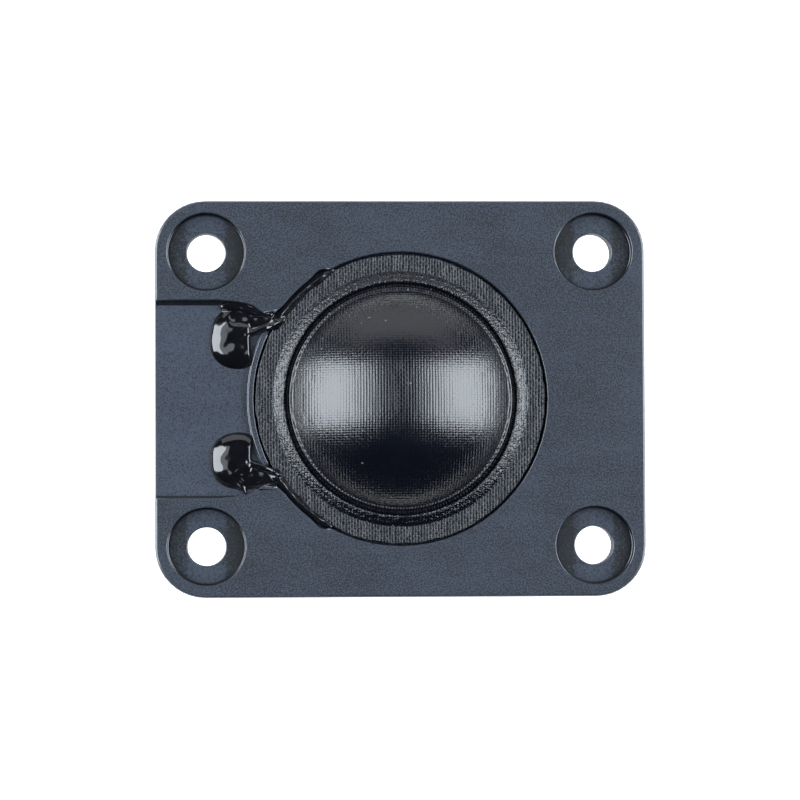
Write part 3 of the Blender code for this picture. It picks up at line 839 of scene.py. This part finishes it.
def melted(fields, heights):
    """The smooth maximum of several fields, and the drop's height there, by the same weights."""
    stacked = np.stack(fields)
    weight = np.exp(MELT * (stacked - stacked.max(axis=0)))
    field = stacked.max(axis=0) + np.log(weight.sum(axis=0)) / MELT
    tallest = (weight * np.array(heights).reshape(-1, *[1] * (weight.ndim - 1))).sum(axis=0)
    return field, tallest * MM / weight.sum(axis=0)


def ground(x, y):
    """What the glue lies on: the channel's floor, rising to the flange inside the ring."""
    t = np.clip((17.35 * MM - np.hypot(x, y)) / (0.9 * MM), 0, 1)
    return CHANNEL_FLOOR + (FLANGE_TOP - CHANNEL_FLOOR) * t * t * (3 - 2 * t)


print("an arm's route starts at", np.round(ring_route(149, 118, 16.75, (0.8, 0.4))[0], 2))

# %% [markdown]
# ## The glue's surface
# The field is worked out on a square grid over a window. The cells where it is above 0 are
# kept, and the border points are slid down the field's slope onto the line where it is 0, so
# the outline is smooth and not a staircase. A drop has a steep rim and a flat back, so its
# height is 1 - (1 - field) ** 2. A lower sheet sunk into the plate and a wall close it.

# %% glue surface
GLUE_CELL = 0.09 * MM
SLIDES = 6              # how many times the border points are moved towards the outline
SLIDE_LIMIT = 1e-7      # holds one such move to a few hundredths of a millimetre
SINK = 0.04 * MM        # how far the drop's edge lies below the face it wets
DEPTH = 0.45 * MM       # how far its closed lower side lies below that face


def slide_to_edge(x, y, border, shape):
    """Move the border's points along the field's slope to where the field is 0."""
    step = 0.01 * MM
    for _ in range(SLIDES):
        bx, by = x[border], y[border]
        f = shape(bx, by)[0]
        gx = (shape(bx + step, by)[0] - f) / step
        gy = (shape(bx, by + step)[0] - f) / step
        slide = np.clip(-f / (gx**2 + gy**2), -SLIDE_LIMIT, SLIDE_LIMIT)
        x[border], y[border] = bx + slide * gx, by + slide * gy


def drop_mesh(name, shape, window):
    """A closed drop over the part of the window where the field from shape(x, y) is above 0."""
    (x0, x1), (y0, y1) = np.array(window) * MM
    x, y = np.meshgrid(np.arange(x0, x1, GLUE_CELL), np.arange(y0, y1, GLUE_CELL), indexing="ij")
    field = shape(x, y)[0]
    inside = field > 0
    padded = np.pad(inside, 1)
    near = np.zeros_like(inside)
    for i in range(3):
        for j in range(3):
            near |= padded[i:i + inside.shape[0], j:j + inside.shape[1]]
    slide_to_edge(x, y, near & ~inside, shape)
    field, tallest = shape(x, y)
    core = np.clip(field, 0, 1)
    lift = tallest * (1 - (1 - core)**2.0) + 0.07 * MM * core * ripple(x, y, 2.4 * MM)
    top = ground(x, y) - SINK + lift
    quads = grid_quads(*x.shape)
    quads = quads[near.ravel()[quads].all(axis=1)]
    upper = np.stack([x, y, top], axis=2).reshape(-1, 3)
    lower = upper.copy()
    lower[:, 2] = (ground(x, y) - DEPTH).ravel()
    sides = np.vstack([quads[:, [k, (k + 1) % 4]] for k in range(4)])
    key = np.sort(sides, axis=1) @ [x.size, 1]
    _, first, count = np.unique(key, return_index=True, return_counts=True)
    rim = sides[first[count == 1]]
    wall = np.stack([rim[:, 1], rim[:, 0], rim[:, 0] + x.size, rim[:, 1] + x.size], axis=1)
    faces = np.vstack([quads, quads[:, ::-1] + x.size, wall])
    used, faces = np.unique(faces, return_inverse=True)
    return mesh_from_faces(name, np.vstack([upper, lower])[used], faces.reshape(-1, 4))


print("the channel's floor and the flange:", np.round(ground(np.array([-20, -16]) * MM, 0), 5))

# %% [markdown]
# ## The two drops
# Each drop is a list of ovals and strands in millimetres, with a height for each. The lower
# one is rounder and has a pointed toe at the channel's wall. Wet glue is black and glossy with
# a thin clear skin, so its finish has a coat that varies a little, and hardly any relief.

# %% glue drops


def upper_glue(x, y):
    """A drop over the upper terminal, a ridge over its wire and an arm along the ring."""
    fields = [oval(x, y, (-18.6, 7.0), (3.2, 3.6), -8, -17.0),
              strand(x, y, [(-20.2, 10.6, 0.5), (-18.2, 10.7, 0.8), (-16.2, 9.9, 0.7),
                            (-14.9, 9.7, 0.6)]),
              strand(x, y, [(-18.8, 9.0, 1.2), (-16.4, 8.8, 0.9), (-14.6, 8.9, 0.6)]),
              strand(x, y, [(-17.6, 7.3, 0.4), (-15.2, 8.2, 0.45), (-13.4, 9.0, 0.4)]),
              strand(x, y, ring_route(149, 118, 16.75, (0.8, 0.75, 0.8, 0.65, 0.75, 0.4))),
              strand(x, y, ring_route(147, 122, 16.6, (0.35, 0.25, 0.35, 0.25, 0.2)))]
    return melted(fields, (0.95, 0.75, 0.55, 0.85, 0.5, 0.8))


def lower_glue(x, y):
    """The same round the lower terminal: rounder, with a pointed toe at the channel's wall."""
    fields = [oval(x, y, (-18.6, -7.0), (3.2, 3.25), 8, -16.9),
              strand(x, y, [(-18.6, -9.2, 1.0), (-17.7, -10.7, 0.15)]),
              strand(x, y, [(-18.0, -8.7, 1.6), (-16.0, -9.0, 1.35), (-14.4, -9.1, 0.9)]),
              strand(x, y, [(-17.4, -7.2, 0.5), (-15.4, -8.0, 0.5), (-13.9, -8.7, 0.4)]),
              strand(x, y, ring_route(-149, -119, 16.7, (0.7, 0.7, 0.6, 0.7, 0.5, 0.55, 0.3))),
              strand(x, y, ring_route(-148, -123, 16.6, (0.35, 0.3, 0.25, 0.35, 0.2)))]
    return melted(fields, (1.0, 0.5, 0.65, 0.85, 0.45, 0.8))


wet = Finish("wet_black_glue", Specular_IOR_Level=0.7, Coat_Roughness=0.03)
film = wet.noise(1.6 * MM)
wet.wire(Base_Color=wet.blend(film, colour(0.002, 0.002, 0.003), colour(0.007, 0.007, 0.009)),
         Roughness=film * 0.1 + 0.06, Coat_Weight=0.5 + film * 0.5)
wet.bump(wet.noise(1.3 * MM, detail=1.0), 0.02 * MM)
for name, shape, window in (("upper", upper_glue, ((-23, -6.5), (2.5, 16))),
                            ("lower", lower_glue, ((-23, -6.5), (-16, -2.5)))):
    drop = drop_mesh(f"glue_drop_{name}", shape, window)
    dress(drop, wet, "frame", [f"glue_bead_{name}"])
    describe(drop)

# %% [markdown]
# ## The coil's lead wires
# Each end of the winding is a thin enamelled wire. It climbs beside the coil, passes through its
# slot in the ring and runs out to the solder under the glue. A circle is carried along the route,
# closed to a point at both ends. The tubes are put on no body of the frame.

# %% lead wires
WIRE_R = 0.12 * MM
SLOT_DEGREES = 148.6    # where the ring's slot for the upper wire lies, from the X axis


def tube_points(path, radius, side, count):
    """Circles of the given radius square to the path; side is never parallel to the path."""
    forward = np.gradient(path, axis=0)
    forward[0], forward[-1] = forward[1], forward[-2]
    forward /= np.linalg.norm(forward, axis=1, keepdims=True)
    first = np.cross(forward, side)
    first /= np.linalg.norm(first, axis=1, keepdims=True)
    second = np.cross(forward, first)
    angles = full_turn(count)[None, :, None]
    swell = np.ones((len(path), 1, 1)) * radius
    swell[[0, -1]] = 0
    return (path[:, None] + swell * (first[:, None] * np.cos(angles)
                                     + second[:, None] * np.sin(angles)))


def wire_route(sign):
    """Solder joint, over the ring's edge, through its slot and down beside the coil."""
    def at(radius, degrees, height):
        a = math.radians(SLOT_DEGREES + degrees)
        return (radius * math.cos(a) * MM, sign * radius * math.sin(a) * MM, FRONT + height * MM)
    points = [(-17.95 * MM, sign * 7.43 * MM, FRONT - 0.45 * MM),
              (-16.6 * MM, sign * 7.8 * MM, FRONT - 0.6 * MM),
              at(16.85, 1.6, -0.78), at(15.9, 0, -1.05), at(14.7, 0, -1.05), at(13.9, 0, -1.25),
              at(13.2, 0, -1.8), at(12.75, 0, -2.1)]
    path = smooth_path(points, 60)
    return path[[0, *range(len(path)), -1]]


enamel = Finish("copper_enamel", Metallic=1.0)
coils = enamel.noise(0.5 * MM)
enamel.wire(Base_Color=enamel.blend(coils, colour(0.55, 0.20, 0.08), colour(0.70, 0.32, 0.15)),
            Roughness=coils * 0.2 + 0.2)
enamel.bump(coils, 0.004 * MM)
slot_angle = math.radians(SLOT_DEGREES)
for name, sign in (("upper", 1), ("lower", -1)):
    beside = np.array([math.sin(slot_angle), -sign * math.cos(slot_angle), 0.0])
    path = wire_route(sign)
    wire = weld(grid_object(f"lead_{name}", tube_points(path, WIRE_R, beside, 10), close_v=True))
    dress(wire, enamel, None, [f"lead_wire_{name}"])
    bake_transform(wire)
    describe(wire)

# %% [markdown]
# ## The steel cup
# The motor's cup is drawn from sheet steel and zinc plated: soft edges, faint rings from the
# tool and a little staining. A turned profile with rounded corners gives all of that shape.
# One function makes every metal finish here, as they differ only in colour and polish.

# %% steel cup
FLOOR_Z = low("magnet")[2] - 0.1 * MM
CUP_TOP = high("motor_cup")[2]
BORE_R = 13.15 * MM
RING_PITCH = 0.22 * MM
cup_profile = rounded_path([(0, FLOOR_Z), (BORE_R, FLOOR_Z), (BORE_R, CUP_TOP), (CUP_R, CUP_TOP),
                            (CUP_R, 0.5 * MM), (CUP_R - 0.5 * MM, 0.0), (9.0 * MM, 0.0),
                            (8.6 * MM, 0.12 * MM), (0, 0.12 * MM)], 0.25 * MM)
cup = weld(grid_object("steel_cup", turned_points(cup_profile, full_turn(160)), close_u=True))


def metal(name, dark, light, roughness, size=1.2 * MM, rings=0.0):
    """Plated or plain metal: cloudy staining, fine scratches and, if asked, turning marks."""
    finish = Finish(name, Metallic=1.0)
    clouds = finish.noise(size, detail=5.0)
    scratches = finish.noise(0.25 * MM, detail=3.0, stretch=(0.1, 1.0, 1.0))
    lines = (finish.radius() * (2 * math.pi / RING_PITCH)).sine() * 0.5 + 0.5
    finish.wire(Base_Color=finish.blend(clouds.step(0.3, 0.75), colour(*dark), colour(*light)),
                Roughness=clouds * 0.25 + scratches * 0.1 + (roughness - 0.15))
    return finish.bump(scratches * (1 - rings) + lines * rings, 0.004 * MM)


zinc = metal("zinc_plate", (0.24, 0.25, 0.27), (0.40, 0.41, 0.43), 0.36, 3 * MM, 0.5)
dress(cup, zinc, "frame", ["motor_cup"])
describe(cup)

# %% [markdown]
# ## Finishes of the small parts
# The blades and rivets are rolled brass, the solder is bright tin, the cup is held by an amber
# resin, a dab of red paint marks the positive terminal, and the flange's ring is a fibre
# plastic. Each is one noise at its own scale behind colour, roughness and relief.

# %% small finishes
brass = metal("rolled_brass", (0.34, 0.23, 0.09), (0.55, 0.40, 0.18), 0.30)
tin = metal("solder_metal", (0.45, 0.46, 0.48), (0.78, 0.78, 0.78), 0.26, 0.4 * MM)

resin = Finish("amber_resin", Specular_IOR_Level=0.6)
bubbles = resin.noise(0.9 * MM, detail=4.0)
resin.wire(Base_Color=resin.blend(bubbles, colour(0.20, 0.13, 0.05), colour(0.62, 0.50, 0.28)),
           Roughness=bubbles * 0.3 + 0.15)
resin.bump(bubbles, 0.08 * MM)

paint = Finish("red_paint")
brush = paint.noise(0.4 * MM, stretch=(0.3, 1.0, 1.0))
paint.wire(Base_Color=paint.blend(brush, colour(0.38, 0.015, 0.015), colour(0.62, 0.04, 0.03)),
           Roughness=brush * 0.3 + 0.25)
paint.bump(brush, 0.03 * MM)

phenolic = Finish("ring_plastic")
fibres = phenolic.noise(0.3 * MM, stretch=(1.0, 0.2, 1.0))
phenolic.wire(Base_Color=phenolic.blend(fibres, colour(0.012, 0.012, 0.014),
                                        colour(0.040, 0.040, 0.044)),
              Roughness=fibres * 0.2 + 0.4)
phenolic.bump(fibres, 0.01 * MM)

print("finishes so far:", len(bpy.data.materials))

# %% [markdown]
# ## Small parts behind and under the plate
# These already have the right shape in the CAD model and only lack worn edges, so softened
# copies stand for them, each with a bevel that suits its size.

# %% small parts
small_parts = [("terminal_tab_upper", brass, "brass", 0.06),
               ("terminal_tab_lower", brass, "brass", 0.06),
               ("terminal_rivet_upper", brass, "brass", 0.06),
               ("terminal_rivet_lower", brass, "brass", 0.06),
               ("solder_joint_upper", tin, "solder", 0.04),
               ("solder_joint_lower", tin, "solder", 0.04),
               ("cup_adhesive", resin, "adhesive", 0.12),
               ("polarity_dot", paint, "red_paint", 0.03),
               ("diaphragm_ring", phenolic, "ring_plastic", 0.05)]
for node, finish, slot, width in small_parts:
    copy = softened_copy(f"{node}_shell", node, width * MM, 2)
    describe(dress(copy, finish, "frame", [node]))

# %% [markdown]
# ## Inside the motor
# The magnet, pole piece, felt pad, former and winding sit inside and are the right shape
# already. They keep their CAD meshes and only get a finish: nickel, zinc, wool, foil and rows
# of copper wire, drawn as a sine wave along the coil.

# %% finishes inside the motor
felt = Finish("grey_felt", Specular_IOR_Level=0.2)
wool = felt.noise(0.15 * MM, detail=5.0, roughness=0.7)
felt.wire(Base_Color=felt.blend(wool, colour(0.16, 0.16, 0.17), colour(0.42, 0.42, 0.43)),
          Roughness=wool * 0.1 + 0.88)
felt.bump(wool, 0.12 * MM)

turns = Finish("wound_copper", Metallic=1.0)
layers = (turns.z * (2 * math.pi / (0.14 * MM))).sine() * 0.5 + 0.5
turns.wire(Base_Color=turns.blend(layers, colour(0.40, 0.14, 0.06), colour(0.72, 0.34, 0.17)),
           Roughness=layers * -0.1 + 0.35)
turns.bump(layers, 0.05 * MM)

inside = {"magnet": metal("nickel_plate", (0.50, 0.49, 0.46), (0.74, 0.73, 0.70), 0.22, 4 * MM),
          "pole_piece": zinc, "dome_damper": felt, "coil_winding": turns,
          "coil_former": metal("former_foil", (0.60, 0.60, 0.61), (0.82, 0.82, 0.83), 0.3)}
for node, finish in inside.items():
    for slot in frame["nodes"][node].material_slots:
        slot.material = finish.material
print("dressed", sorted(inside))
